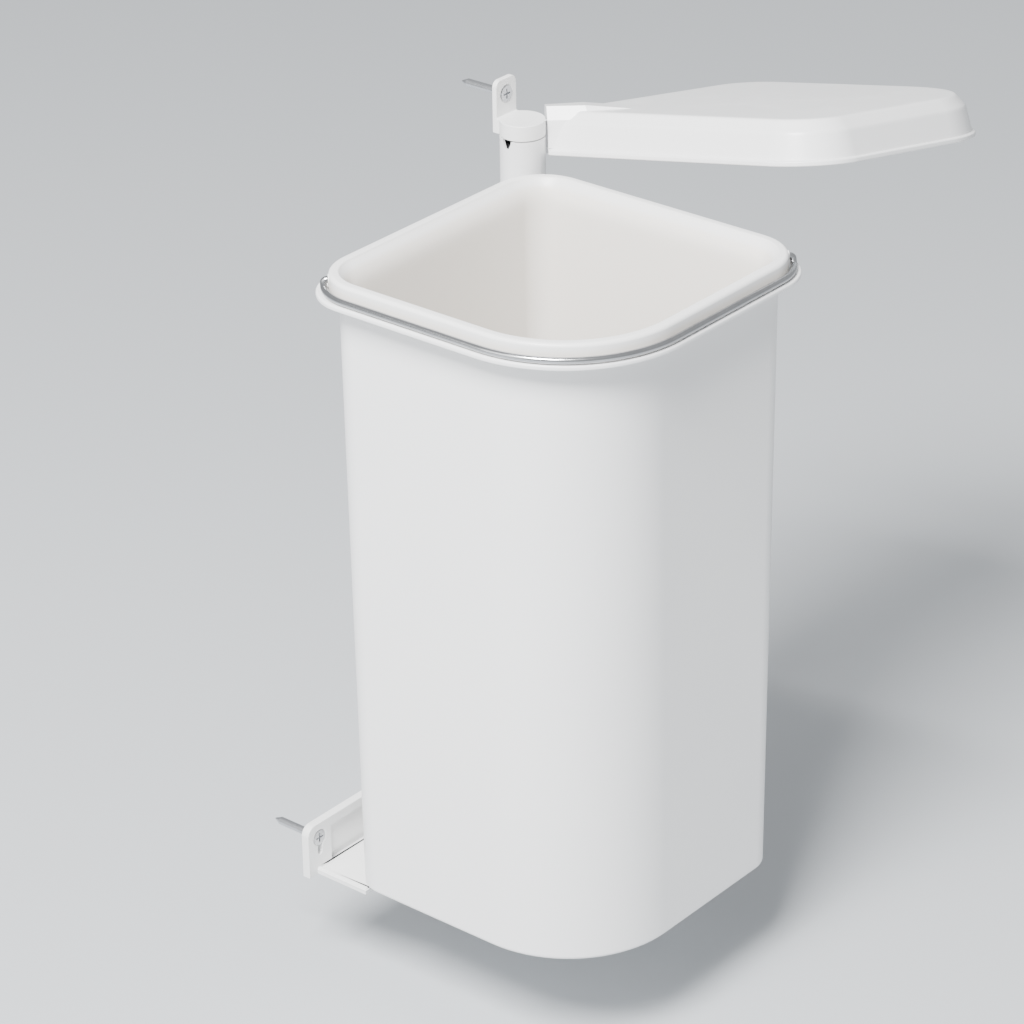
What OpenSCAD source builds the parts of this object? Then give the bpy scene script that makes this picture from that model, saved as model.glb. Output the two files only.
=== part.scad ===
// Swing-out waste bin for the inside of a sink cabinet.
// X = 0 is the cabinet wall and +X comes out of it, +Y runs into the cabinet, +Z is up.
// The origin is where the top fixing screw enters the wall, level with the pivot post.
// Everything is drawn with the bin swung out and its lid raised.

/* [Bin] */
// Half width of the container under its flange
body_half = 85; // [80:0.5:86]
// Height from the rim down to the container's underside
body_height = 365.2; // [300:0.2:420]
// Half width of the bucket's rim
rim_half = 92; // [91:0.5:94]
// Half width of the container's flange
flange_half = 96.8; // [96:0.2:98]
// Wall thickness of the container
container_wall = 2; // [1.6:0.1:2.2]
// Wall thickness of the bucket
bucket_wall = 1.6; // [1.2:0.1:1.8]

/* [Post] */
// Distance from the wall to the pivot axis
pivot_x = 14; // [13.6:0.1:16]
// Radius of the swinging tube
tube_r = 12.5; // [12:0.1:12.5]
// Radius of the pivot rod
rod_r = 4; // [3:0.1:4]

/* [Lid] */
// Half width of the lid over its bottom bead
lid_half = 95.8; // [94:0.2:97]
// Height of the lid at its flat top
lid_height = 23.5; // [22:0.5:26]
// How far the lid tips up when the bin is swung out
lid_tilt = 15.9; // [12:0.1:16]

/* [Fixings] */
// Radius of the wall screws
screw_r = 2.25; // [2:0.05:2.3]
// Distance between the two bottom screws
base_screw_gap = 195; // [150:1:200]

/* [Hidden] */
$fn = 48;
eps = 0.01;
white = [0.93, 0.93, 0.94];
steel = [0.72, 0.73, 0.75];

// Levels
rim_z = -37;
crown_z = rim_z + 1.4;
flange_z = rim_z - 8.5;
body_bottom = rim_z - body_height;
cap_bottom = -20.6;
cap_top = -11.8;
tube_top = cap_bottom - 0.6;
tab_top = 9;
base_bottom = body_bottom - 5.3;
base_height = 32;
boss_top = body_bottom + 8.2;
washer_t = 2;
tube_bottom = boss_top + washer_t;

// Places seen from above, with the bin swung out
bin_x = pivot_x + 101;
bin_y = -94;
body_half_low = body_half - 2;
corner_r = 17.3;
front_r = 62;

// The lid turns on a level shaft that runs at 45 degrees, beside the rod
shaft_off = 7.5;
shaft_r = 2;
shaft_z = -17;
lid_gap = 2.2;
lid_drop = shaft_z - (rim_z + lid_gap);
lid_dx = 94;
lid_dy = 104;
boss_start = 13.5;
boss_height = 26.5;
boss_axis = (lid_dy - lid_dx) / sqrt(2);

// The lever that rides on the cam, and the top of the slot it moves in
lever_x = 5.2;
lever_t = 2;
lever_room = -13;

// Handle wire
wire_r = 1.8;
ear_z = rim_z - 2.5;
loop_z = rim_z - 6.2;
loop_half = rim_half + wire_r + 0.8;

// A square with rounded corners; the corner at +X -Y is the big one that faces out
function corner(cx, cy, r, start) =
    [for (i = [0:8]) [cx + r * cos(start + i * 11.25), cy + r * sin(start + i * 11.25)]];
function rounded(half, side, big) = concat(
    corner(half - side, half - side, side, 0),
    corner(side - half, half - side, side, 90),
    corner(side - half, side - half, side, 180),
    corner(half - big, big - half, big, 270));

module outline(half, side, big) {
    polygon(rounded(half, side, big));
}

// A thin slice of the bin at one level
module slice(half, side, big, z) {
    translate([0, 0, z]) linear_extrude(eps) outline(half, side, big);
}

module at_bin() {
    translate([bin_x, bin_y, 0]) children();
}

module at_pivot() {
    translate([pivot_x, 0, 0]) children();
}

// Half width of the container's outside at a level
function half_at(z) = body_half_low + (z - body_bottom) / (flange_z - body_bottom) * 2;

// ---------------------------------------------------------------- wall fittings

// Tab for the top screw and the D-shaped cap that holds the rod and the lid's shaft
module top_bracket() {
    tab_half = 8.5;
    color(white) difference() {
        union() {
            translate([0, -tab_half, cap_bottom]) cube([3, 2 * tab_half, tab_top - 4 - cap_bottom]);
            translate([0, -tab_half + 4, tab_top - 5]) cube([3, 2 * tab_half - 8, 5]);
            for (side = [-1, 1])
                translate([0, side * (tab_half - 4), tab_top - 4]) rotate([0, 90, 0]) cylinder(r = 4, h = 3);
            translate([0, -tab_half, cap_bottom]) cube([pivot_x, 2 * tab_half, cap_top - cap_bottom]);
            translate([pivot_x, 0, cap_bottom]) cylinder(r = tube_r, h = cap_top - cap_bottom - 1);
            translate([pivot_x, 0, cap_top - 1 - eps]) cylinder(r1 = tube_r, r2 = tube_r - 1, h = 1 + eps);
        }
        rotate([0, 90, 0]) translate([0, 0, -1]) cylinder(r = screw_r + 0.5, h = 6);
        rotate([0, 90, 0]) translate([0, 0, 1.2]) cylinder(r1 = screw_r + 0.5, r2 = 5, h = 1.9);
        at_pivot() translate([0, 0, cap_bottom - 1]) cylinder(r = rod_r, h = 7.5);
        at_pivot() rotate([0, 0, 45]) translate([-9.9, shaft_off, shaft_z]) rotate([0, 90, 0])
            cylinder(r = shaft_r + 0.05, h = 30);
        at_pivot() rotate([0, 0, 45]) translate([lever_x - 0.3, -8.3, cap_bottom - 1])
            cube([lever_t + 0.6, 18.6, lever_room - cap_bottom + 1]);
    }
}

// One countersunk wood screw along X, its head at x = seat
module wall_screw(seat) {
    neck_r = screw_r - 0.4;
    translate([-24, 0, 0]) rotate([0, 90, 0]) cylinder(r = screw_r, h = 24);
    translate([-28, 0, 0]) rotate([0, 90, 0]) cylinder(r1 = 0.4, r2 = screw_r, h = 4);
    translate([-1, 0, 0]) rotate([0, 90, 0]) cylinder(r = neck_r, h = seat + 1.1);
    difference() {
        translate([seat, 0, 0]) rotate([0, 90, 0]) cylinder(r1 = neck_r, r2 = 4.5, h = 2.2);
        translate([seat + 1.2, -0.5, -2.8]) cube([2, 1, 5.6]);
        translate([seat + 1.2, -2.8, -0.5]) cube([2, 5.6, 1]);
    }
}

module top_screw() {
    color(steel) wall_screw(1.2);
}

base_front = -182.5;
base_rear = 31;
base_screw_y = -173;
base_screw_z = base_bottom + 22.5;

// Wall leg with a sunk panel and a gap at the post, a low floor with a raised rim, and the
// boss under the post
module base_bracket() {
    leg = 5;
    frame_w = 6;
    length = base_rear - base_front;
    floor_t = 3;
    floor_depth = 40;
    rim_h = 4.2;
    post_gap = 15.5;
    color(white) difference() {
        union() {
            translate([0, base_front, base_bottom]) cube([leg, length, base_height - 6]);
            translate([0, base_front + 6, base_bottom]) cube([leg, length - 12, base_height]);
            for (y = [base_front + 6, base_rear - 6])
                translate([0, y, base_bottom + base_height - 6]) rotate([0, 90, 0]) cylinder(r = 6, h = leg);
            translate([0, base_front + 7, base_bottom]) cube([floor_depth, length - 14, floor_t]);
            translate([0, base_front + 7, base_bottom]) cube([floor_depth, 2.5, rim_h]);
            translate([0, base_rear - 9.5, base_bottom]) cube([floor_depth, 2.5, rim_h]);
            translate([floor_depth - 2.5, base_front + 7, base_bottom]) cube([2.5, length - 14, rim_h]);
            at_pivot() translate([0, 0, base_bottom]) cylinder(r = 11, h = boss_top - base_bottom);
        }
        translate([2.2, base_front + 19, base_bottom + floor_t])
            cube([leg, -post_gap - frame_w - base_front - 19, base_height - floor_t - frame_w]);
        translate([-1, -post_gap, boss_top]) cube([leg + 2, 2 * post_gap, base_height]);
        for (y = [base_screw_y, base_screw_y + base_screw_gap]) {
            translate([-1, y, base_screw_z]) rotate([0, 90, 0]) cylinder(r = screw_r + 0.25, h = leg + 2);
            translate([2.6, y, base_screw_z]) rotate([0, 90, 0])
                cylinder(r1 = screw_r + 0.25, r2 = 5.2, h = leg - 2.6 + eps);
            translate([-1, y - 1.6, base_screw_z - 9]) cube([leg + 2, 3.2, 9]);
            translate([-1, y, base_screw_z - 9]) rotate([0, 90, 0]) cylinder(r = 1.6, h = leg + 2);
        }
        at_pivot() translate([0, 0, base_bottom + 2]) cylinder(r = rod_r, h = 40);
        at_pivot() translate([0, 0, boss_top - 5]) rotate([0, 90, 0]) cylinder(r = 2, h = 20);
    }
}

module base_screws() {
    color(steel) for (i = [0, 1])
        translate([0, base_screw_y + i * base_screw_gap, base_screw_z]) wall_screw(2.6);
}

rod_bottom = base_bottom + 2;
rod_top = cap_bottom + 6.5;

module pivot_rod() {
    color(steel) at_pivot() translate([0, 0, rod_bottom]) cylinder(r = rod_r, h = rod_top - rod_bottom);
}

// Locks the rod in the boss
module rod_grub_screw() {
    color(steel) at_pivot() translate([0, 0, boss_top - 5]) rotate([0, 90, 0]) difference() {
        translate([0, 0, rod_r]) cylinder(r = 2, h = 6);
        translate([0, 0, rod_r + 4]) cylinder(r = 1.15, h = 4, $fn = 6);
    }
}

module thrust_washer() {
    color([0.85, 0.85, 0.82]) at_pivot() translate([0, 0, boss_top]) difference() {
        cylinder(r = 10.5, h = washer_t);
        translate([0, 0, -1]) cylinder(r = rod_r + 0.05, h = washer_t + 2);
    }
}

// ---------------------------------------------------------------- swinging part

tube_in = tube_r - 1.5;
notch_turn = -95;

// White tube that turns on the rod, with a notch in its top edge over the cam's low point
module swing_tube() {
    color(white) at_pivot() difference() {
        translate([0, 0, tube_bottom]) cylinder(r = tube_r, h = tube_top - tube_bottom);
        translate([0, 0, tube_bottom - 1]) cylinder(r = tube_in, h = tube_top - tube_bottom + 2);
        rotate([0, 0, notch_turn]) translate([tube_in - 2, 0, tube_top]) rotate([90, 0, 90])
            linear_extrude(6) polygon([[-3.2, 1], [3.2, 1], [2.8, -1.5], [1.2, -5], [-1.2, -5], [-2.8, -1.5]]);
    }
}

// Ring whose sloping top lets the follower down as the bin closes
module cam_ring() {
    ring_h = 11;
    color([0.2, 0.2, 0.21]) at_pivot() difference() {
        translate([0, 0, tube_top - ring_h]) cylinder(r = tube_in, h = ring_h);
        translate([0, 0, tube_top - ring_h - 1]) cylinder(r = 6.5, h = ring_h + 2);
        rotate([0, 0, notch_turn]) translate([0, 0, tube_top - 0.2]) rotate([0, 28, 0])
            translate([-5, -20, 0]) cube([35, 40, 12]);
    }
}

module bush(z, h) {
    color([0.88, 0.87, 0.83]) at_pivot() translate([0, 0, z]) difference() {
        cylinder(r = tube_in, h = h);
        translate([0, 0, -1]) cylinder(r = rod_r + 0.05, h = h + 2);
    }
}

module upper_bush() {
    bush(tube_top - 11 - 18, 18);
}

module lower_bush() {
    bush(tube_bottom, 20);
}

// Collar on the tube, a web, and a saddle that follows the container's corner
arm_h = 24;
saddle_t = 2.6;
saddle_gap = 0.25;
collar_t = 0.9;
web_half = 4;
rivet_turns = [107, 163];
module arm(z) {
    inset = half_at(z) - corner_r;
    color(white) difference() {
        translate([0, 0, z]) linear_extrude(arm_h) difference() {
            union() {
                at_pivot() circle(r = tube_r + collar_t);
                at_pivot() rotate(-38.5) translate([0, -web_half]) square([30, 2 * web_half]);
                at_bin() translate([-inset, inset]) intersection() {
                    circle(r = corner_r + saddle_gap + saddle_t);
                    polygon([[0, 0], [-4, 30], [-30, 30], [-30, 4]]);
                }
            }
            at_pivot() circle(r = tube_r);
            at_bin() translate([-inset, inset]) circle(r = corner_r + saddle_gap);
        }
        for (turn = rivet_turns)
            at_bin() translate([-inset, inset, z + arm_h / 2]) rotate([0, 0, turn])
                translate([corner_r - 2, 0, 0]) rotate([0, 90, 0]) cylinder(r = 2, h = 8);
    }
}

upper_arm_z = -92;
lower_arm_z = body_bottom + 28.2;

module upper_arm() {
    arm(upper_arm_z);
}

module lower_arm() {
    arm(lower_arm_z);
}

// Four rivets hold the saddles to the container's corner
module arm_rivets() {
    color(steel) for (z = [upper_arm_z, lower_arm_z], turn = rivet_turns) {
        inset = half_at(z) - corner_r;
        at_bin() translate([-inset, inset, z + arm_h / 2]) rotate([0, 0, turn]) rotate([0, 90, 0]) {
            translate([0, 0, corner_r - container_wall - 0.5])
                cylinder(r = 2, h = container_wall + saddle_t + 1);
            translate([0, 0, corner_r - container_wall - 1.1]) cylinder(r = 3.4, h = 0.9);
            translate([0, 0, corner_r + saddle_t + 0.25]) cylinder(r1 = 3.6, r2 = 2, h = 1.3);
        }
    }
}

// Outer container with its broad flange
module container() {
    low = body_half_low;
    color(white) at_bin() difference() {
        union() {
            hull() {
                slice(low - 2.2, corner_r - 2.2, front_r + 1.8, body_bottom);
                slice(low - 0.6, corner_r - 0.6, front_r + 3.4, body_bottom + 0.8);
                slice(low, corner_r, front_r + 4, body_bottom + 2.6);
                slice(body_half, corner_r, front_r, flange_z - eps);
            }
            translate([0, 0, flange_z - 2]) linear_extrude(2) outline(flange_half, 29, front_r + 10);
            translate([0, 0, flange_z - 3]) linear_extrude(1.5) outline(flange_half, 29, front_r + 10);
        }
        translate([0, 0, flange_z - 4]) linear_extrude(2) difference() {
            outline(flange_half - 1.6, 27.4, front_r + 8.4);
            outline(body_half + 0.3, corner_r, front_r);
        }
        hull() {
            slice(low - 5, corner_r - 5, front_r - 1, body_bottom + 2);
            slice(low - container_wall, corner_r - 2, front_r + 2, body_bottom + 5);
            slice(body_half - container_wall, corner_r - 2, front_r - 2, flange_z + 1);
        }
        for (z = [upper_arm_z, lower_arm_z], turn = rivet_turns) {
            inset = half_at(z) - corner_r;
            translate([-inset, inset, z + arm_h / 2]) rotate([0, 0, turn]) translate([corner_r - 5, 0, 0])
                rotate([0, 90, 0]) cylinder(r = 2, h = 8);
        }
    }
}

// ---------------------------------------------------------------- bucket and its handle

rim_side = 29;
rim_big = front_r + 5;
ear_reach = (rim_half - rim_side) * sqrt(2) + rim_side;

// Lift-out bucket: tapered body, sloping throat, rolled crown and a skirt over the flange
module bucket() {
    top_half = body_half - container_wall - 1.4;
    low_half = body_half_low - container_wall - 2;
    low_z = body_bottom + 3.5;
    throat_z = flange_z - 1;
    step = 0.05;
    color(white) at_bin() difference() {
        union() {
            hull() {
                slice(rim_half, rim_side, rim_big, rim_z - 1);
                slice(rim_half, rim_side, rim_big, crown_z - 1.4);
                slice(rim_half - 0.8, rim_side - 0.8, rim_big - 0.8, crown_z - 0.4);
                slice(rim_half - 2.2, rim_side - 2.2, rim_big - 2.2, crown_z - eps);
            }
            translate([0, 0, flange_z + 0.3]) linear_extrude(rim_z - flange_z - 0.8) difference() {
                outline(rim_half - step, rim_side - step, rim_big - step);
                outline(rim_half - bucket_wall, rim_side - bucket_wall, rim_big - bucket_wall);
            }
            hull() {
                slice(rim_half - 5, rim_side - 5, rim_big - 5, rim_z - 0.5);
                slice(top_half, corner_r - 3, front_r - 3, throat_z);
            }
            hull() {
                slice(low_half - 4, corner_r - 6, front_r - 3, low_z);
                slice(low_half, corner_r - 3, front_r + 1, low_z + 4);
                slice(top_half - step, corner_r - 3 - step, front_r - 3 - step, throat_z + 0.6);
            }
        }
        hull() {
            slice(low_half - 5.5, corner_r - 7.5, front_r - 4.5, low_z + bucket_wall);
            slice(low_half - bucket_wall, corner_r - 4.5, front_r - 0.5, low_z + 5);
            slice(top_half - bucket_wall, corner_r - 4.5, front_r - 4.5, throat_z + 0.4);
        }
        hull() {
            slice(top_half - bucket_wall - 0.7, corner_r - 5.2, front_r - 5.2, throat_z - 1.2);
            slice(rim_half - 6.5, rim_side - 6.5, rim_big - 6.5, rim_z);
            slice(rim_half - 4.6, rim_side - 4.6, rim_big - 4.6, crown_z + 0.2);
        }
        for (turn = [45, 225])
            rotate([0, 0, turn]) translate([ear_reach - 5, 0, ear_z]) rotate([0, 90, 0])
                cylinder(r = wire_r + 1, h = 10);
    }
}

// Plastic eyelets in the skirt that the handle's ends turn in
module bail_eyelets() {
    color(white) at_bin() for (turn = [45, 225])
        rotate([0, 0, turn]) translate([ear_reach - 3.4, 0, ear_z]) rotate([0, 90, 0]) difference() {
            union() {
                cylinder(r = wire_r + 1, h = 3.6);
                cylinder(r = wire_r + 1.6, h = 1.2);
            }
            translate([0, 0, -1]) cylinder(r = wire_r + 0.05, h = 8);
        }
}

// A straight stretch, a hair thinner than the bends, that runs a little way into them
module wire_rod(length) {
    lap = 0.4;
    rotate([90, 0, 0]) translate([0, 0, -lap]) cylinder(r = wire_r - 0.03, h = length + 2 * lap, $fn = 32);
}

module wire_arc(radius, angle) {
    reach = 2 * radius;
    intersection() {
        rotate_extrude($fn = 96) translate([radius, 0]) circle(r = wire_r, $fn = 32);
        translate([0, 0, -2 * wire_r]) linear_extrude(4 * wire_r)
            polygon([[0, 0], [reach, 0], [reach, reach * tan(angle / 2)],
                [reach * cos(angle), reach * sin(angle)]]);
    }
}

// Wire handle: lies round the outward side of the skirt, both ends cranked up into the eyelets
module bail_wire() {
    side = rim_side + 2.6;
    big = rim_big + 2.6;
    flat = loop_half - side;
    bend = loop_half - big;
    end_reach = flat * sqrt(2) + side;
    knuckle_r = wire_r + 0.08;
    color([0.8, 0.81, 0.83]) at_bin() {
        translate([0, 0, loop_z]) {
            translate([-flat, -flat, 0]) rotate([0, 0, 225]) wire_arc(side, 45);
            translate([-flat, -loop_half, 0]) rotate([0, 0, 90]) wire_rod(flat + bend);
            translate([bend, -bend, 0]) rotate([0, 0, 270]) wire_arc(big, 90);
            translate([loop_half, flat, 0]) wire_rod(flat + bend);
            translate([flat, flat, 0]) wire_arc(side, 45);
        }
        for (turn = [45, 225]) rotate([0, 0, turn]) {
            translate([end_reach, 0, loop_z]) sphere(r = knuckle_r, $fn = 32);
            translate([end_reach, 0, loop_z]) cylinder(r = wire_r - 0.03, h = ear_z - loop_z, $fn = 32);
            translate([end_reach, 0, ear_z]) sphere(r = knuckle_r, $fn = 32);
            translate([ear_reach - 4.5, 0, ear_z]) rotate([0, 90, 0])
                cylinder(r = wire_r, h = end_reach - ear_reach + 4.5, $fn = 32);
        }
    }
}

// ---------------------------------------------------------------- lid

// Puts a lid piece, drawn level over the closed bin, at the raised angle
module raised() {
    at_pivot() rotate([0, 0, 45]) translate([0, shaft_off, shaft_z]) rotate([-lid_tilt, 0, 0])
        rotate([0, 0, -45]) translate([shaft_off / sqrt(2), -shaft_off / sqrt(2), -lid_drop]) children();
}

// The lid's outline, turned as over the closed bin, with its own radius at the post
module lid_outline(half, side, big, post) {
    polygon(concat(
        corner(half - side, half - side, side, 0),
        corner(post - half, half - post, post, 90),
        corner(side - half, side - half, side, 180),
        corner(half - big, big - half, big, 270)));
}

module lid_slice(half, side, big, post, z) {
    translate([lid_dx, lid_dy, z]) rotate([0, 0, 90]) linear_extrude(eps) lid_outline(half, side, big, post);
}

// A block of the lid's boss, running out from the post at 45 degrees
module boss_block(start, length, half_w, z, h) {
    rotate([0, 0, 45]) translate([start, boss_axis - half_w, z]) cube([length, 2 * half_w, h]);
}

lid_side_z = 17.7;

// Shallow dished lid with a bevelled top and a bead round its bottom edge.
// Its corner at the post is cut off square to the shaft and carries a raised boss.
module lid_shell() {
    color(white) raised() difference() {
        union() {
            hull() {
                lid_slice(lid_half - 1.4, 33.6, 66.6, 5, 0);
                lid_slice(lid_half - 5.3, 29.7, 62.7, 5, lid_side_z);
                lid_slice(lid_half - 10.8, 24.2, 57.2, 5, lid_height - eps);
            }
            hull() {
                boss_block(boss_start - 2, 1, 7.5, 4, 15);
                boss_block(boss_start - 2, 1, 5, 4, boss_height - 4);
                boss_block(38, 1, 14, 4, 15);
                boss_block(38, 1, 9, 4, boss_height - 4);
                boss_block(60, 1, 12, 4, lid_height - 5);
            }
            translate([lid_dx, lid_dy, 0]) rotate([0, 0, 90]) linear_extrude(3) lid_outline(lid_half, 35, 68, 5);
        }
        hull() {
            lid_slice(lid_half - 3.2, 31.8, 64.8, 5, -1);
            lid_slice(lid_half - 7.3, 27.7, 60.7, 5, lid_side_z - 2);
            lid_slice(lid_half - 12.8, 22.2, 55.2, 5, lid_height - 2.2);
        }
        rotate([0, 0, 45]) translate([boss_start - 40, -40, -5]) cube([40, 100, 50]);
        boss_block(boss_start + 2.5, 35, 7.2, -1, block_top + 1);
        rotate([0, 0, 45]) translate([boss_start - 1, shaft_off, lid_drop]) rotate([0, 90, 0])
            cylinder(r = shaft_r + 0.4, h = 8);
    }
}

block_start = boss_start + 2.8;
block_length = 33;
block_top = lid_height - 2.4;
block_screw_s = 42;
block_screw_n = 11;

// T-shaped block under the lid's boss that grips the shaft
module lid_hinge_block() {
    color(white) raised() difference() {
        union() {
            boss_block(block_start, block_length, 7, 4, block_top - 4);
            boss_block(block_start + 18, block_length - 18, 15, 4, block_top - 5);
        }
        rotate([0, 0, 45]) translate([block_start - 1, shaft_off, lid_drop]) rotate([0, 90, 0])
            cylinder(r = shaft_r, h = block_length - 3);
        for (side = [-1, 1]) rotate([0, 0, 45])
            translate([block_screw_s, boss_axis + side * block_screw_n, 0]) {
                cylinder(r = 1.5, h = 30);
                translate([0, 0, 3]) cylinder(r = 3.6, h = 4);
            }
    }
}

module lid_shaft() {
    color(steel) raised() rotate([0, 0, 45]) translate([-9.4, shaft_off, lid_drop]) rotate([0, 90, 0])
        cylinder(r = shaft_r, h = 9.4 + block_start + block_length - 5);
}

// Lever on the shaft inside the cap, its nose standing on the cam ring
module cam_follower() {
    nose_r = 1.1;
    nose_y = -6.4;
    nose_z = tube_top + 0.5 + nose_r;
    color([0.2, 0.2, 0.21]) at_pivot() rotate([0, 0, 45]) translate([lever_x, 0, 0]) difference() {
        union() {
            translate([0, shaft_off, shaft_z]) rotate([0, 90, 0]) cylinder(r = 2.6, h = lever_t);
            translate([0, nose_y - nose_r, shaft_z - 1]) cube([lever_t, shaft_off - nose_y + nose_r, 2.4]);
            translate([0, nose_y - nose_r, nose_z]) cube([lever_t, 2 * nose_r, shaft_z - nose_z]);
            translate([0, nose_y, nose_z]) rotate([0, 90, 0]) cylinder(r = nose_r, h = lever_t);
        }
        translate([-1, shaft_off, shaft_z]) rotate([0, 90, 0]) cylinder(r = shaft_r, h = 5);
    }
}

module lid_screws() {
    color(steel) raised() for (side = [-1, 1]) rotate([0, 0, 45])
        translate([block_screw_s, boss_axis + side * block_screw_n, 0]) {
            translate([0, 0, 4.8]) cylinder(r = 3.2, h = 2.2);
            translate([0, 0, 6.9]) cylinder(r = 1.5, h = block_top - 7.2);
        }
}

top_bracket();
top_screw();
base_bracket();
base_screws();
pivot_rod();
rod_grub_screw();
thrust_washer();
swing_tube();
cam_ring();
upper_bush();
lower_bush();
upper_arm();
lower_arm();
arm_rivets();
container();
bucket();
bail_eyelets();
bail_wire();
lid_shell();
lid_hinge_block();
lid_shaft();
cam_follower();
lid_screws();
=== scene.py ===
import math

import bmesh
import bpy
from mathutils import Matrix, Vector


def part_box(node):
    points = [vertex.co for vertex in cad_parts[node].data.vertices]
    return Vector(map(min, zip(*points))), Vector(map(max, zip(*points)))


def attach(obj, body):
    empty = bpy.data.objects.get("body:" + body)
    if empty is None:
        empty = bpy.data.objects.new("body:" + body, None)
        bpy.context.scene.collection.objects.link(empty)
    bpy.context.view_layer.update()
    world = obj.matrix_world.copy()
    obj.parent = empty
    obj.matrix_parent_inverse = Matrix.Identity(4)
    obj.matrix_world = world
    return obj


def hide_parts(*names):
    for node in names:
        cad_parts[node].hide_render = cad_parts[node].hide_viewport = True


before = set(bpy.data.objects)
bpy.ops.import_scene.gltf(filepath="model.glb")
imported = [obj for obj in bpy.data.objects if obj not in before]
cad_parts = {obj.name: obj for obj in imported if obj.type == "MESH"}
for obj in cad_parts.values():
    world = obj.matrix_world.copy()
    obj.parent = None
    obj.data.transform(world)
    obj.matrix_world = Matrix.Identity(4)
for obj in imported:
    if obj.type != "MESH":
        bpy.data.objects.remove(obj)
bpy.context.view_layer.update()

bpy.ops.object.select_all(action="DESELECT")


# ------------------------------------------------------------------ outer container
# The container is one moulding: a tall box with three tight corners and one broad one facing
# out, slightly narrower at the bottom, with a flange that folds down at its edge. It is made as
# rounded squares at each level, bridged one to the next, and filled at the two ends.

MM = 0.001
bucket_low, bucket_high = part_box("bucket")
bin_x = (bucket_low.x + bucket_high.x) / 2
bin_y = (bucket_low.y + bucket_high.y) / 2
container_low, container_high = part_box("container")
flange_z = container_high.z
body_bottom = container_low.z
CORNER = 17.3 * MM
FRONT = 62 * MM
BODY_HALF = 85 * MM
BODY_TAPER = 2 * MM
WALL = 2 * MM


def open_mesh(name):
    """An empty mesh object at the origin, in edit mode."""
    bpy.ops.object.select_all(action="DESELECT")
    bpy.ops.mesh.primitive_plane_add(size=1, location=(0, 0, 0))
    made = bpy.context.object
    made.name = name
    made.data.name = name
    bpy.ops.object.mode_set(mode="EDIT")
    bpy.ops.mesh.select_all(action="SELECT")
    bpy.ops.mesh.delete(type="VERT")
    return made


def rounded_square(made, centre, half, radii, z, steps):
    """Adds one rounded square of edges: a plane whose corners are bevelled round.
    radii are those of the corners at +X +Y, -X +Y, -X -Y and +X -Y."""
    bpy.ops.mesh.select_all(action="DESELECT")
    bpy.ops.mesh.primitive_plane_add(size=2 * half, location=(centre[0], centre[1], z))
    signs = ((1, 1), (-1, 1), (-1, -1), (1, -1))
    for (sx, sy), radius, count in zip(signs, radii, steps):
        mesh = bmesh.from_edit_mesh(made.data)
        for vert in mesh.verts:
            if not vert.hide:
                dx, dy = (vert.co.x - centre[0]) * sx, (vert.co.y - centre[1]) * sy
                vert.select = dx > half * 0.9999 and dy > half * 0.9999
        mesh.select_flush_mode()
        bmesh.update_edit_mesh(made.data)
        bpy.ops.mesh.bevel(offset=radius, segments=count, affect="VERTICES", clamp_overlap=False)
    bpy.ops.mesh.select_all(action="SELECT")
    bpy.ops.mesh.delete(type="ONLY_FACE")
    bpy.ops.mesh.select_all(action="SELECT")
    bpy.ops.object.vertex_group_assign_new()
    bpy.ops.mesh.hide()


def pick_rings(made, *numbers):
    bpy.ops.mesh.select_all(action="DESELECT")
    for number in numbers:
        made.vertex_groups.active_index = number
        bpy.ops.object.vertex_group_select()


def loft(name, centre, rings, steps=(12, 12, 12, 20)):
    """A closed solid from rings of (half width, corner radii, level), inside floor to outside floor."""
    made = open_mesh(name)
    bpy.ops.mesh.select_mode(type="VERT")
    for half, radii, z in rings:
        rounded_square(made, centre, half, radii, z, steps)
    bpy.ops.mesh.reveal(select=False)
    for number in range(len(rings) - 1):
        pick_rings(made, number, number + 1)
        bpy.ops.mesh.bridge_edge_loops()
    for number in (0, len(rings) - 1):
        pick_rings(made, number)
        bpy.ops.mesh.edge_face_add()
    bpy.ops.mesh.select_all(action="SELECT")
    bpy.ops.mesh.normals_make_consistent(inside=False)
    bpy.ops.object.mode_set(mode="OBJECT")
    made.vertex_groups.clear()
    return made


def smooth(made, angle=35, weighted=True):
    bpy.ops.object.select_all(action="DESELECT")
    made.select_set(True)
    bpy.context.view_layer.objects.active = made
    bpy.ops.object.shade_smooth_by_angle(angle=math.radians(angle))
    if weighted:
        bpy.ops.object.modifier_add(type="WEIGHTED_NORMAL")
        made.modifiers[-1].keep_sharp = True
        bpy.ops.object.modifier_apply(modifier=made.modifiers[-1].name)


def finish_piece(made, material, body, slot_name, *replaced):
    made.data.materials.clear()
    made.data.materials.append(material)
    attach(made, body)
    if replaced:
        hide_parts(*replaced)


def body_ring(inset, z, extra=0.0):
    """A ring that follows the container's outside at that level, set in by inset."""
    share = (z - body_bottom) / (flange_z - body_bottom)
    half = BODY_HALF - BODY_TAPER * (1 - share)
    side = max(CORNER - inset, 2 * MM)
    front = FRONT + 4 * MM * (1 - share) - inset + extra
    return half - inset, (side, side, side, front), z


def edge_arc(inset, z, radius, first, last, count=6):
    """Rings round an edge whose centre is at that inset and level, from one angle to another."""
    for i in range(count + 1):
        turn = math.radians(first + (last - first) * i / count)
        yield body_ring(inset - radius * math.cos(turn), z + radius * math.sin(turn))


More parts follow.
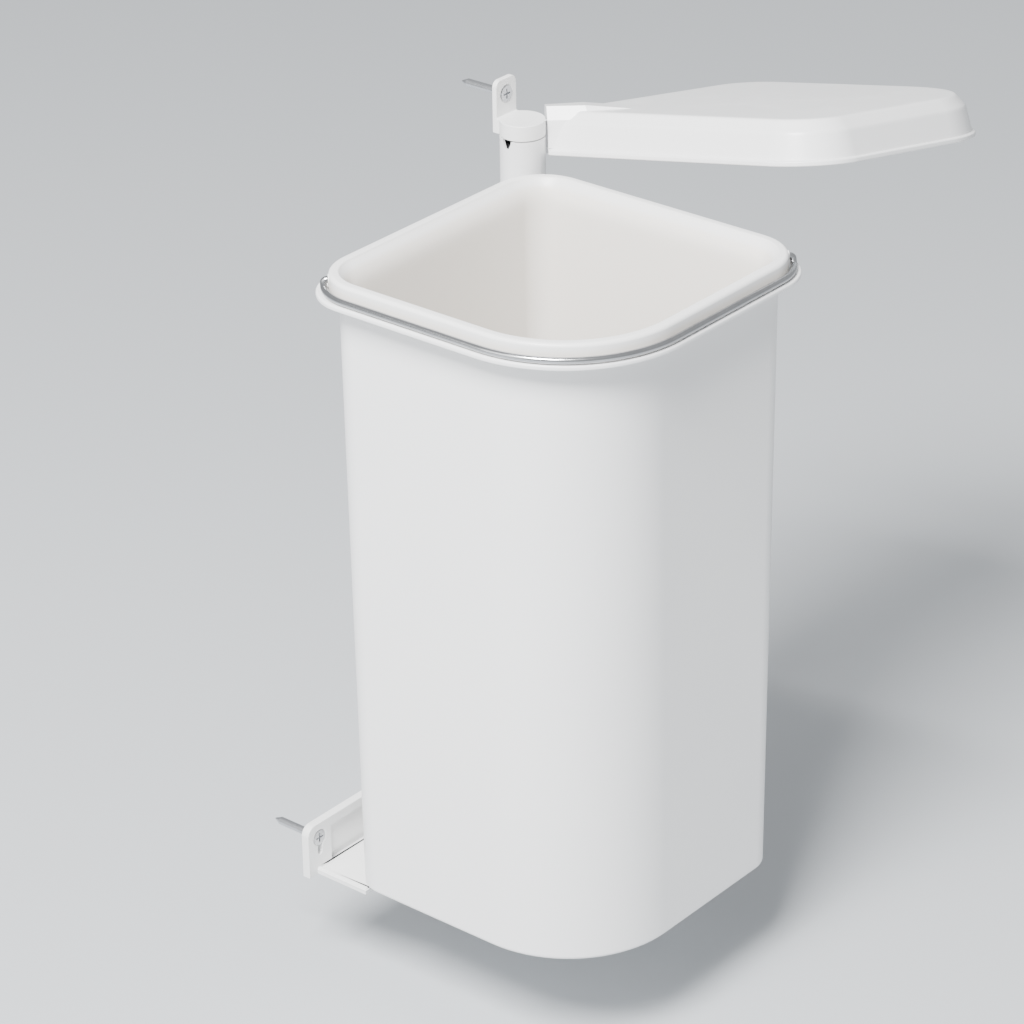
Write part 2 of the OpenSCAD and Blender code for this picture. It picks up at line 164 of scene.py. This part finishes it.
flange_out = -(container_high.x - container_low.x) / 2 + BODY_HALF
floor_in, floor_round = body_bottom + WALL, 5 * MM
container_rings = [
    *edge_arc(WALL + floor_round, floor_in + floor_round, floor_round, -90, 0),
    body_ring(WALL, body_bottom + 60 * MM),
    body_ring(WALL, flange_z - 60 * MM),
    body_ring(WALL, flange_z - 4 * MM),
    *edge_arc(WALL - 1 * MM, flange_z - 1 * MM, 1 * MM, 180, 90, 4),
    *edge_arc(flange_out + 1.3 * MM, flange_z - 1.35 * MM, 1.3 * MM, 90, 0, 6),
    *edge_arc(flange_out + 0.8 * MM, flange_z - 2.2 * MM, 0.8 * MM, 0, -180, 8),
    body_ring(flange_out + 1.6 * MM, flange_z - 1.9 * MM),
    *edge_arc(-2 * MM, flange_z - 4 * MM, 2 * MM, 90, 180, 5),
    body_ring(0, flange_z - 30 * MM),
    body_ring(0, body_bottom + 60 * MM),
    *edge_arc(2.4 * MM, body_bottom + 2.4 * MM, 2.4 * MM, 0, -90, 6),
]


class Sock:
    """A socket that does shader arithmetic when it is added, multiplied and so on."""

    def __init__(self, tree, out):
        self.tree, self.out = tree, out

    def _math(self, kind, *values):
        return node(self.tree, "ShaderNodeMath", {"operation": kind}, list(values))

    def __add__(self, other):
        return self._math("ADD", self, other)

    def __radd__(self, other):
        return self._math("ADD", other, self)

    def __sub__(self, other):
        return self._math("SUBTRACT", self, other)

    def __rsub__(self, other):
        return self._math("SUBTRACT", other, self)

    def __mul__(self, other):
        return self._math("MULTIPLY", self, other)

    def __rmul__(self, other):
        return self._math("MULTIPLY", other, self)

    def clamp(self, low, high):
        settings = {"interpolation_type": "SMOOTHSTEP"}
        inputs = {"Value": self, "From Min": low, "From Max": high}
        return node(self.tree, "ShaderNodeMapRange", settings, inputs)


def node(tree, kind, settings, inputs, output=0):
    """Adds a node, sets it, and fills its sockets with values or links."""
    made = tree.nodes.new(kind)
    for name, value in settings.items():
        if name == "stops":
            for i, (place, colour) in enumerate(value):
                stop = made.color_ramp.elements[i] if i < 2 else made.color_ramp.elements.new(place)
                stop.position, stop.color = place, colour
        else:
            setattr(made, name, value)
    pairs = enumerate(inputs) if isinstance(inputs, list) else inputs.items()
    for key, value in pairs:
        if isinstance(value, Sock):
            tree.links.new(value.out, made.inputs[key])
        else:
            made.inputs[key].default_value = value
    return Sock(tree, made.outputs[output])


def start_material(name):
    """A fresh material: its tree, its shader and the object coordinates."""
    made = bpy.data.materials.new(name)
    made.use_nodes = True
    tree = made.node_tree
    shader = tree.nodes["Principled BSDF"]
    place = node(tree, "ShaderNodeTexCoord", {}, {}, 3)
    return made, tree, shader, place


def noise(tree, place, scale, detail=3.0, rough=0.5):
    inputs = {"Vector": place, "Scale": scale, "Detail": detail, "Roughness": rough}
    return node(tree, "ShaderNodeTexNoise", {}, inputs)


def mix_colour(tree, factor, a, b, blend="MIX"):
    settings = {"data_type": "RGBA", "blend_type": blend}
    return node(tree, "ShaderNodeMix", settings, {0: factor, 6: a, 7: b}, 2)


def connect(tree, source, shader, name):
    tree.links.new(source.out, shader.inputs[name])


def moulded_plastic(name, colour, shade, roughness, grain=0.02, grain_scale=1500.0):
    """Moulded plastic: tone drifts between two close colours, with grain and soft scuffs."""
    made, tree, shader, place = start_material(name)
    drift = noise(tree, place, 9.0, 4.0, 0.55).clamp(0.35, 0.7)
    speck = noise(tree, place, 420.0, 2.0, 0.6).clamp(0.62, 0.8)
    tone = mix_colour(tree, drift, (*colour, 1), (*shade, 1))
    tone = mix_colour(tree, speck * 0.12, tone, (shade[0] * 0.8, shade[1] * 0.8, shade[2] * 0.78, 1))
    connect(tree, tone, shader, "Base Color")
    scuff = noise(tree, place, 38.0, 5.0, 0.7).clamp(0.5, 0.75)
    connect(tree, roughness + 0.1 * scuff + 0.04 * drift, shader, "Roughness")
    fine = noise(tree, place, grain_scale, 2.0, 0.5)
    wave = noise(tree, place, 26.0, 2.0, 0.5)
    settings = {"Strength": 0.5, "Distance": 0.0006, "Height": fine * grain + wave * 0.12}
    bump = node(tree, "ShaderNodeBump", {}, settings)
    connect(tree, bump, shader, "Normal")
    shader.inputs["IOR"].default_value = 1.5
    return made


container = loft("container_shell", (bin_x, bin_y), container_rings)
smooth(container)
shell_white = moulded_plastic("shell_white", (0.88, 0.88, 0.878), (0.86, 0.86, 0.862), 0.3)
finish_piece(container, shell_white, "swing_bin", "shell_white", "container")


# ------------------------------------------------------------------ bucket
# The lift-out bucket is thinner; below its crown it is painted a darker, warmer white as painted shade for
# its inside. Its throat flares to a rolled crown that turns down into a skirt over the container's flange.

rim_half = (bucket_high.x - bucket_low.x) / 2
crown_z = bucket_high.z
THIN = 1.6 * MM
RIM_SIDE = 29 * MM
RIM_FRONT = 67 * MM


def rim_ring(inset, z):
    """A ring that follows the skirt's outside, set in by inset."""
    side = RIM_SIDE - inset
    return rim_half - inset, (side, side, side, RIM_FRONT - inset), z


def crown_arc(inset, z, radius, first, last, count=6, flat=1.0):
    for i in range(count + 1):
        turn = math.radians(first + (last - first) * i / count)
        yield rim_ring(inset - radius * math.cos(turn), z + radius * flat * math.sin(turn))


def flare(low, high, share):
    """The ring part of the way up a flare that opens faster and faster."""
    ease = share ** 3
    radii = tuple(x + (y - x) * ease for x, y in zip(low[1], high[1]))
    return low[0] + (high[0] - low[0]) * ease, radii, low[2] + (high[2] - low[2]) * share


gap = 1.8 * MM
bucket_in = WALL + gap + THIN
bucket_floor = bucket_low.z + THIN
inner_round = 9 * MM
throat = flange_z - 7 * MM
inner_top = body_ring(bucket_in, throat)
RIM_BAND = 6.3 * MM
inner_rim = rim_ring(RIM_BAND, crown_z - 1.5 * MM)
outer_top = body_ring(bucket_in - THIN, throat - 0.5 * MM)
outer_rim = rim_ring(RIM_BAND - THIN, crown_z - 2.6 * MM)
bucket_rings = [
    *edge_arc(bucket_in + inner_round, bucket_floor + inner_round, inner_round, -90, 0, 8),
    body_ring(bucket_in, body_bottom + 70 * MM),
    body_ring(bucket_in, flange_z - 50 * MM),
    body_ring(bucket_in, throat - 4 * MM),
    inner_top,
    *[flare(inner_top, inner_rim, share) for share in (0.25, 0.45, 0.6, 0.72, 0.82, 0.91, 1.0)],
    *crown_arc(4.6 * MM, crown_z - 1.2 * MM, 1.2 * MM, 170, 90, 4),
    *crown_arc(2.2 * MM, crown_z - 2.25 * MM, 2.2 * MM, 90, 0, 8),
    rim_ring(0, flange_z + 1.2 * MM),
    *crown_arc(THIN / 2, flange_z + 1.1 * MM, THIN / 2, 0, -180, 6),
    rim_ring(THIN, crown_z - 3.6 * MM),
    outer_rim,
    *[flare(outer_top, outer_rim, share) for share in (0.91, 0.82, 0.72, 0.6, 0.45, 0.25, 0)],
    body_ring(bucket_in - THIN, flange_z - 50 * MM),
    body_ring(bucket_in - THIN, body_bottom + 70 * MM),
    *edge_arc(bucket_in - THIN + 9.5 * MM, bucket_low.z + 9.5 * MM, 9.5 * MM, 0, -90, 7),
]
bucket = loft("bucket_shell", (bin_x, bin_y), bucket_rings)
smooth(bucket)
bucket_white = moulded_plastic("bucket_white", (0.87, 0.868, 0.86), (0.85, 0.845, 0.835), 0.34)
tree = bucket_white.node_tree
shader = tree.nodes["Principled BSDF"]
mould_tone = Sock(tree, shader.inputs["Base Color"].links[0].from_socket)
level = node(tree, "ShaderNodeSeparateXYZ", {}, [node(tree, "ShaderNodeTexCoord", {}, {}, 3)], 2)
# Painted shade: below the crown the colour turns to a darker beige, standing in for the shade inside the
# bucket.
depth = (crown_z - level).clamp(2.5 * MM, 6 * MM)
connect(tree, mix_colour(tree, depth, mould_tone, (0.83, 0.795, 0.745, 1)), shader, "Base Color")
finish_piece(bucket, bucket_white, "bucket", "bucket_white", "bucket")


# ------------------------------------------------------------------ handle wire
# Bright wire that lies round the outward side of the skirt; each end turns up, then in
# through the skirt. A small circle is carried along the path, turning at every bend.

WIRE = 1.8 * MM
LOOP_GAP = 0.8 * MM
ELBOW = 1.85 * MM
ear_level = crown_z - 3.9 * MM
loop_level = crown_z - 7.6 * MM


def carried_circle(name, path, radius, around=20):
    """A round bar whose centre follows the points of the path."""
    made = open_mesh(name)
    bpy.ops.mesh.select_mode(type="VERT")
    last = len(path) - 1
    for i, point in enumerate(path):
        along = (path[min(i + 1, last)] - path[max(i - 1, 0)]).normalized()
        turn = along.to_track_quat("Z", "Y").to_euler()
        bpy.ops.mesh.select_all(action="DESELECT")
        bpy.ops.mesh.primitive_circle_add(vertices=around, radius=radius, location=point, rotation=turn)
        bpy.ops.object.vertex_group_assign_new()
        bpy.ops.mesh.hide()
    bpy.ops.mesh.reveal(select=False)
    for number in range(last):
        pick_rings(made, number, number + 1)
        bpy.ops.mesh.bridge_edge_loops()
    for number in (0, last):
        pick_rings(made, number)
        bpy.ops.mesh.edge_face_add()
    bpy.ops.mesh.select_all(action="SELECT")
    bpy.ops.mesh.normals_make_consistent(inside=False)
    bpy.ops.object.mode_set(mode="OBJECT")
    made.vertex_groups.clear()
    return made


def arc(centre, radius, first, last, level, count):
    for i in range(count + 1):
        turn = math.radians(first + (last - first) * i / count)
        yield Vector((centre[0] + radius * math.cos(turn), centre[1] + radius * math.sin(turn), level))


side_round = RIM_SIDE + WIRE + LOOP_GAP
front_round = RIM_FRONT + WIRE + LOOP_GAP
loop_half = rim_half + WIRE + LOOP_GAP
flat, bend = loop_half - side_round, loop_half - front_round
end_reach = flat * math.sqrt(2) + side_round
hole_reach = (rim_half - RIM_SIDE) * math.sqrt(2) + RIM_SIDE


def wire_end(turn):
    """From inside the skirt outwards, down through an elbow, and down to the loop's level."""
    out = Vector((math.cos(math.radians(turn)), math.sin(math.radians(turn)), 0))
    centre = Vector((bin_x, bin_y, 0))
    yield centre + out * (hole_reach - 4.5 * MM) + Vector((0, 0, ear_level))
    yield centre + out * (end_reach - ELBOW - 0.4 * MM) + Vector((0, 0, ear_level))
    for i in range(7):
        swing = math.radians(90 - 15 * i)
        reach = end_reach - ELBOW + ELBOW * math.cos(swing)
        yield centre + out * reach + Vector((0, 0, ear_level - ELBOW + ELBOW * math.sin(swing)))


def loop_points():
    for side, corner, radius, first, last, count in (
        (-1, -1, side_round, 225, 270, 10),
        (1, -1, front_round, 270, 360, 26),
        (1, 1, side_round, 0, 45, 10),
    ):
        reach = bend if radius == front_round else flat
        centre = (bin_x + side * reach, bin_y + corner * reach)
        yield from arc(centre, radius, first, last, loop_level, count)


def bright_metal(name, colour, roughness, marks):
    made, tree, shader, place = start_material(name)
    shader.inputs["Metallic"].default_value = 1.0
    cloud = noise(tree, place, 60.0, 4.0, 0.6).clamp(0.3, 0.75)
    dull = tuple(c * 0.86 for c in colour)
    connect(tree, mix_colour(tree, cloud, (*colour, 1), (*dull, 1)), shader, "Base Color")
    rub = noise(tree, place, 900.0, 3.0, 0.7).clamp(0.4, 0.8)
    connect(tree, roughness + marks * cloud + marks * rub, shader, "Roughness")
    bump = node(tree, "ShaderNodeBump", {}, {"Strength": 0.15, "Distance": 0.0001, "Height": rub})
    connect(tree, bump, shader, "Normal")
    return made


around_loop = list(loop_points())
path = [*wire_end(225), *around_loop[1:-1], *reversed(list(wire_end(45)))]
bail = carried_circle("bail", path, WIRE)
smooth(bail, 50, False)
chrome_wire = bright_metal("chrome_wire", (0.52, 0.525, 0.535), 0.18, 0.05)
finish_piece(bail, chrome_wire, "bail", "chrome_wire", "bail_wire")


# ------------------------------------------------------------------ lid
# A shallow dished moulding. A bead runs round its bottom edge, its top edge is bevelled, and
# the corner by the post is cut off square to the hinge and raised into a boss. It is drawn
# level, as over the closed bin, then turned up to the angle it has when the bin is out.

tube_low, tube_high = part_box("swing_tube")
post = (tube_low + tube_high) / 2
LID_HALF = 95.8 * MM
LID_CENTRE = (94 * MM, 104 * MM)
BEAD, BEAD_HALF = 0.8, 95.0
BOSS_START = 13.5 * MM
BOSS_AXIS = 7.07 * MM
TILT = math.radians(15.9)
HINGE_TURN = math.radians(45)
SHAFT_OFF, SHAFT_Z, LID_DROP = 7.5 * MM, -17 * MM, 17.8 * MM


def lid_ring(half, z):
    """A ring of the lid, with its broad corner away from the post and a tight one at it."""
    inset = LID_HALF - half * MM
    side = 35 * MM - inset
    return half * MM, (68 * MM - inset, side, 5 * MM, side), z * MM


def boss_box(made, start, length, half_width, low, high):
    """Adds one box of the boss in edit mode, running out from the post at 45 degrees."""
    turn = Matrix.Rotation(HINGE_TURN, 3, "Z")
    middle = turn @ Vector(((start + length / 2) * MM, BOSS_AXIS, (low + high) / 2 * MM))
    size = (length * MM, 2 * half_width * MM, (high - low) * MM)
    bpy.ops.mesh.primitive_cube_add(size=1, location=middle, rotation=(0, 0, HINGE_TURN), scale=size)


def join_by(made, tool, kind):
    """Joins or cuts with another solid, which is then removed."""
    bpy.ops.object.select_all(action="DESELECT")
    made.select_set(True)
    bpy.context.view_layer.objects.active = made
    bpy.ops.object.modifier_add(type="BOOLEAN")
    change = made.modifiers[-1]
    change.operation, change.solver, change.object = kind, "MANIFOLD", tool
    bpy.ops.object.modifier_apply(modifier=change.name)
    bpy.ops.object.select_all(action="DESELECT")
    tool.select_set(True)
    bpy.ops.object.delete()


def bead_ring(turn, level):
    """A ring of the round bead at the lid's bottom edge, at an angle in degrees about its centre."""
    turn = math.radians(turn)
    return lid_ring(BEAD_HALF + BEAD * math.cos(turn), level + BEAD * math.sin(turn))


lid_rings = [
    lid_ring(80, 21.4),
    lid_ring(82.6, 21.3),
    lid_ring(84.2, 20.7),
    lid_ring(87.6, 16.9),
    lid_ring(88.6, 15.2),
    lid_ring(91.8, 1.2),
    lid_ring(92.2, 0.3),
    lid_ring(93.0, 0),
    *[bead_ring(a, 0.85) for a in range(-90, 1, 15)],
    *[bead_ring(a, 2.1) for a in range(0, 76, 15)],
    lid_ring(94.5, 2.95),
    lid_ring(94.0, 3.3),
    lid_ring(93.8, 4),
    lid_ring(91.1, 15.6),
    lid_ring(90.7, 16.9),
    lid_ring(90.2, 17.7),
    lid_ring(89.4, 18.5),
    lid_ring(86.4, 21.9),
    lid_ring(85.5, 22.8),
    lid_ring(84.6, 23.3),
    lid_ring(83.2, 23.5),
    lid_ring(80.5, 23.52),
]
lid = loft("lid", LID_CENTRE, lid_rings, steps=(22, 14, 4, 14))

boss = open_mesh("boss")
boss_box(boss, 11.5, 1, 7.5, 4, 19)
boss_box(boss, 11.5, 1, 5.2, 4, 26.5)
boss_box(boss, 36, 1, 14, 4, 19)
boss_box(boss, 34, 1, 9.5, 4, 26.3)
boss_box(boss, 66, 1, 11, 4, 22.6)
bpy.ops.mesh.select_all(action="SELECT")
bpy.ops.mesh.convex_hull()
bpy.ops.mesh.select_all(action="SELECT")
bpy.ops.mesh.bevel(offset=1.6 * MM, segments=4, affect="EDGES", clamp_overlap=True)
bpy.ops.mesh.select_all(action="SELECT")
bpy.ops.mesh.normals_make_consistent(inside=False)
bpy.ops.object.mode_set(mode="OBJECT")
join_by(lid, boss, "UNION")

pocket = open_mesh("pocket")
boss_box(pocket, 16, 35, 7.2, -1, 22.1)
bpy.ops.object.mode_set(mode="OBJECT")
join_by(lid, pocket, "DIFFERENCE")

bpy.ops.object.mode_set(mode="EDIT")
bpy.ops.mesh.select_all(action="SELECT")
diagonal = Vector((1, 1, 0)).normalized()
bpy.ops.mesh.bisect(plane_co=diagonal * BOSS_START, plane_no=diagonal, use_fill=True, clear_inner=True)
bpy.ops.mesh.select_all(action="SELECT")
bpy.ops.mesh.normals_make_consistent(inside=False)
bpy.ops.object.mode_set(mode="OBJECT")

about_shaft = Matrix.Translation((0, SHAFT_OFF, SHAFT_Z)) @ Matrix.Rotation(-TILT, 4, "X")
to_shaft = Matrix.Translation((0, -SHAFT_OFF, -LID_DROP)) @ Matrix.Rotation(-HINGE_TURN, 4, "Z")
at_post = Matrix.Translation((post.x, post.y, 0)) @ Matrix.Rotation(HINGE_TURN, 4, "Z")
lid.matrix_world = at_post @ about_shaft @ to_shaft
bpy.ops.object.select_all(action="DESELECT")
lid.select_set(True)
bpy.context.view_layer.objects.active = lid
bpy.ops.object.transform_apply(location=True, rotation=True, scale=True)
smooth(lid, 30)
finish_piece(lid, shell_white, "lid", "shell_white", "lid_shell")


# ------------------------------------------------------------------ top bracket
# A tab for the screw and the D-shaped cap over the post, moulded as one with soft edges. The
# shaft's bore and the lever's slot are cut in it, and the screw's hole is countersunk.

def box_between(name, low, high):
    """A box from its low corner to its high one, in millimetres."""
    bpy.ops.object.select_all(action="DESELECT")
    low, high = Vector(low) * MM, Vector(high) * MM
    bpy.ops.mesh.primitive_cube_add(size=1, location=(low + high) / 2, scale=high - low)
    bpy.ops.object.transform_apply(location=True, rotation=True, scale=True)
    made = bpy.context.object
    made.name = made.data.name = name
    return made


def bar(name, start, end, low_radius, high_radius=None, around=48):
    """A round bar or a cone from one point to another, in millimetres."""
    bpy.ops.object.select_all(action="DESELECT")
    start, end = Vector(start) * MM, Vector(end) * MM
    turn = (end - start).to_track_quat("Z", "Y").to_euler()
    high_radius = low_radius if high_radius is None else high_radius
    bpy.ops.mesh.primitive_cone_add(
        vertices=around, radius1=low_radius * MM, radius2=high_radius * MM, depth=(end - start).length,
        location=(start + end) / 2, rotation=turn,
    )
    bpy.ops.object.transform_apply(location=True, rotation=True, scale=True)
    made = bpy.context.object
    made.name = made.data.name = name
    return made


def round_top_corners(made, radius):
    """Rounds the edges that run along X at the top of a plate."""
    bpy.ops.object.mode_set(mode="EDIT")
    bpy.ops.mesh.select_mode(type="EDGE")
    mesh = bmesh.from_edit_mesh(made.data)
    top = max(vert.co.z for vert in mesh.verts)
    for edge in mesh.edges:
        a, b = edge.verts[0].co, edge.verts[1].co
        edge.select_set(min(a.z, b.z) > top - 1e-6 and abs(a.x - b.x) > abs(a.y - b.y))
    bmesh.update_edit_mesh(made.data)
    bpy.ops.mesh.bevel(offset=radius * MM, segments=10, affect="EDGES")
    bpy.ops.object.mode_set(mode="OBJECT")


def soften(made, width):
    """Rounds the sharp edges a little, as in a real mould."""
    bpy.ops.object.select_all(action="DESELECT")
    made.select_set(True)
    bpy.context.view_layer.objects.active = made
    bpy.ops.object.modifier_add(type="BEVEL")
    change = made.modifiers[-1]
    change.width, change.segments, change.limit_method = width * MM, 3, "ANGLE"
    change.angle_limit, change.use_clamp_overlap = math.radians(35), False
    bpy.ops.object.modifier_apply(modifier=change.name)


POST_X = 14
CAP_LOW, CAP_TOP, TAB_TOP, TAB_HALF = -20.6, -11.8, 9, 8.5
moulded_white = moulded_plastic("moulded_white", (0.87, 0.87, 0.865), (0.84, 0.84, 0.83), 0.36)

top_bracket = box_between("top_bracket_soft", (0, -TAB_HALF, CAP_LOW), (3, TAB_HALF, TAB_TOP))
round_top_corners(top_bracket, 4)
join_by(top_bracket, box_between("cap_back", (0, -TAB_HALF, CAP_LOW), (POST_X, TAB_HALF, CAP_TOP)), "UNION")
join_by(top_bracket, bar("cap", (POST_X, 0, CAP_LOW), (POST_X, 0, CAP_TOP), 12.5, around=96), "UNION")
join_by(top_bracket, bar("hole", (-1, 0, 0), (5, 0, 0), 2.75), "DIFFERENCE")
join_by(top_bracket, bar("sink", (1.2, 0, 0), (3.1, 0, 0), 2.75, 5), "DIFFERENCE")
soften(top_bracket, 0.5)
diag, aside = Vector((1, 1, 0)).normalized(), Vector((-1, 1, 0)).normalized()
shaft_at = Vector((POST_X, 0, -17)) + aside * 7.5
join_by(top_bracket, bar("bore", shaft_at - diag * 9.9, shaft_at + diag * 20, 2.05), "DIFFERENCE")
slot_cut = box_between("slot", (4.9, -8.3, CAP_LOW - 1), (7.5, 10.3, -13))
slot_cut.matrix_world = Matrix.Translation((POST_X * MM, 0, 0)) @ Matrix.Rotation(HINGE_TURN, 4, "Z")
join_by(top_bracket, slot_cut, "DIFFERENCE")
smooth(top_bracket, 40)
finish_piece(top_bracket, moulded_white, "wall_frame", "moulded_white", "top_bracket")


# ------------------------------------------------------------------ base bracket
# A low wall leg with a sunk panel and two keyholes, a shallow tray that stands out from it
# with a raised rim, and the boss that carries the post.

base_low, base_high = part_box("base_bracket")
BASE = base_low.z / MM
LEG, LEG_TOP = 5, BASE + 32
FRONT_Y, REAR_Y = base_low.y / MM, base_high.y / MM
BOSS_TOP = BASE + 13.5
base_bracket = box_between("base_bracket_soft", (0, FRONT_Y, BASE), (LEG, REAR_Y, LEG_TOP))
round_top_corners(base_bracket, 6)
tray = (
    ((0, FRONT_Y + 7, BASE), (40, REAR_Y - 7, BASE + 3)),
    ((0.5, FRONT_Y + 7.05, BASE + 1), (39.95, FRONT_Y + 9.5, BASE + 4.2)),
    ((0.5, REAR_Y - 9.5, BASE + 1), (39.95, REAR_Y - 7.05, BASE + 4.2)),
    ((37.5, FRONT_Y + 7.5, BASE + 1), (39.9, REAR_Y - 7.5, BASE + 4.18)),
)
for low, high in tray:
    join_by(base_bracket, box_between("tray", low, high), "UNION")
panel = box_between("panel", (2.2, FRONT_Y + 19, BASE + 3.1), (9, -21.5, LEG_TOP - 6))
join_by(base_bracket, panel, "DIFFERENCE")
join_by(base_bracket, box_between("gap", (-1, -15.5, BOSS_TOP), (9, 15.5, LEG_TOP + 2)), "DIFFERENCE")
join_by(base_bracket, bar("boss_post", (POST_X, 0, BASE + 1), (POST_X, 0, BOSS_TOP), 11, around=64), "UNION")
SCREW_YS, SCREW_Z = (-173, 22), BASE + 22.5
for y in SCREW_YS:
    z = SCREW_Z
    join_by(base_bracket, bar("hole", (-1, y, z), (9, y, z), 2.5), "DIFFERENCE")
    join_by(base_bracket, bar("sink", (2.6, y, z), (5.2, y, z), 2.5, 5.3), "DIFFERENCE")
    join_by(base_bracket, box_between("slot", (-1, y - 1.6, z - 9), (9, y + 1.6, z)), "DIFFERENCE")
    join_by(base_bracket, bar("slot_end", (-1, y, z - 9), (9, y, z - 9), 1.59), "DIFFERENCE")
soften(base_bracket, 0.5)
smooth(base_bracket, 40)
finish_piece(base_bracket, moulded_white, "wall_frame", "moulded_white", "base_bracket")


# ------------------------------------------------------------------ parts kept from the frame
# The tube, arms, screws, rivets, bushes and the lid's hinge parts keep their shapes and get
# the finish of what they are made of, except the cam ring and follower, which are painted near-black as
# painted shade in the notch.

painted_white = moulded_plastic("painted_white", (0.82, 0.82, 0.82), (0.78, 0.78, 0.785), 0.3, 0.05, 700.0)
bright_steel = bright_metal("bright_steel", (0.62, 0.63, 0.65), 0.26, 0.08)
bearing_plastic = moulded_plastic("bearing_plastic", (0.75, 0.73, 0.66), (0.7, 0.68, 0.6), 0.5)
# Painted shade: the cam ring and follower are near-black so that the notch at the top of the tube reads as a
# dark hole.
dark_plastic = moulded_plastic("dark_plastic", (0.02, 0.02, 0.022), (0.03, 0.03, 0.032), 0.45)
finishes = {
    "swing_tube": painted_white, "upper_arm": painted_white, "lower_arm": painted_white,
    "top_screw": bright_steel, "base_screws": bright_steel, "pivot_rod": bright_steel,
    "rod_grub_screw": bright_steel, "arm_rivets": bright_steel, "lid_shaft": bright_steel,
    "lid_screws": bright_steel, "bail_eyelets": bucket_white, "lid_hinge_block": moulded_white,
    "thrust_washer": bearing_plastic, "upper_bush": bearing_plastic, "lower_bush": bearing_plastic,
    "cam_ring": dark_plastic, "cam_follower": dark_plastic,
}
for name, finish in finishes.items():
    for place in bpy.data.objects[name].material_slots:
        place.material = finish


# ------------------------------------------------------------------ stage, light and camera
# A plain pale floor under the object, with soft studio light from the left and above and a
# weaker light low on the left to lift the shadows.

bpy.ops.object.select_all(action="DESELECT")
floor_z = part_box("base_bracket")[0].z - 0.06
bpy.ops.mesh.primitive_plane_add(size=12, location=(0.3, 0, floor_z))
floor = bpy.context.object
floor.name = "floor"
floor_made, _, floor_shader, _ = start_material("floor_pale")
floor_shader.inputs["Base Color"].default_value = (0.5, 0.52, 0.54, 1)
floor_shader.inputs["Roughness"].default_value = 0.8
floor.data.materials.append(floor_made)

world = bpy.data.worlds.new("studio")
bpy.context.scene.world = world
world.use_nodes = True
world.node_tree.nodes["Background"].inputs[0].default_value = (0.84, 0.86, 0.88, 1)
world.node_tree.nodes["Background"].inputs[1].default_value = 0.72


def soft_light(name, place, target, size, power, colour=(1, 1, 1)):
    bpy.ops.object.light_add(type="AREA", location=place)
    lamp = bpy.context.object
    lamp.name = name
    lamp.data.shape = "RECTANGLE"
    lamp.data.size, lamp.data.size_y = size
    lamp.data.energy = power
    lamp.data.color = colour
    lamp.rotation_euler = (Vector(target) - Vector(place)).to_track_quat("-Z", "Y").to_euler()


middle = (bin_x, bin_y, -0.2)
soft_light("key", (0.5, -1.7, 2.1), middle, (1.0, 1.0), 270)
soft_light("fill", (-0.3, -1.7, 0.7), middle, (1.2, 1.2), 12)

# A long lens 2 m away, looking down at the corner between the front and the right side
YAW, PITCH, ROLL = math.radians(39.89), math.radians(27.2), math.radians(-0.89)
forward = Vector((-math.sin(YAW) * math.cos(PITCH), math.cos(YAW) * math.cos(PITCH), -math.sin(PITCH)))
right = Vector((math.cos(YAW), math.sin(YAW), 0))
up = right.cross(forward)
right_rolled = right * math.cos(ROLL) + up * math.sin(ROLL)
up_rolled = up * math.cos(ROLL) - right * math.sin(ROLL)
bpy.ops.object.camera_add(location=(1.279, -1.5273, 0.7694))
camera = bpy.context.object
turn = Matrix((right_rolled, up_rolled, -forward)).transposed()
camera.rotation_euler = turn.to_euler()
camera.data.sensor_width = 36
camera.data.lens = 138.55
camera.data.clip_end = 50
bpy.context.scene.camera = camera
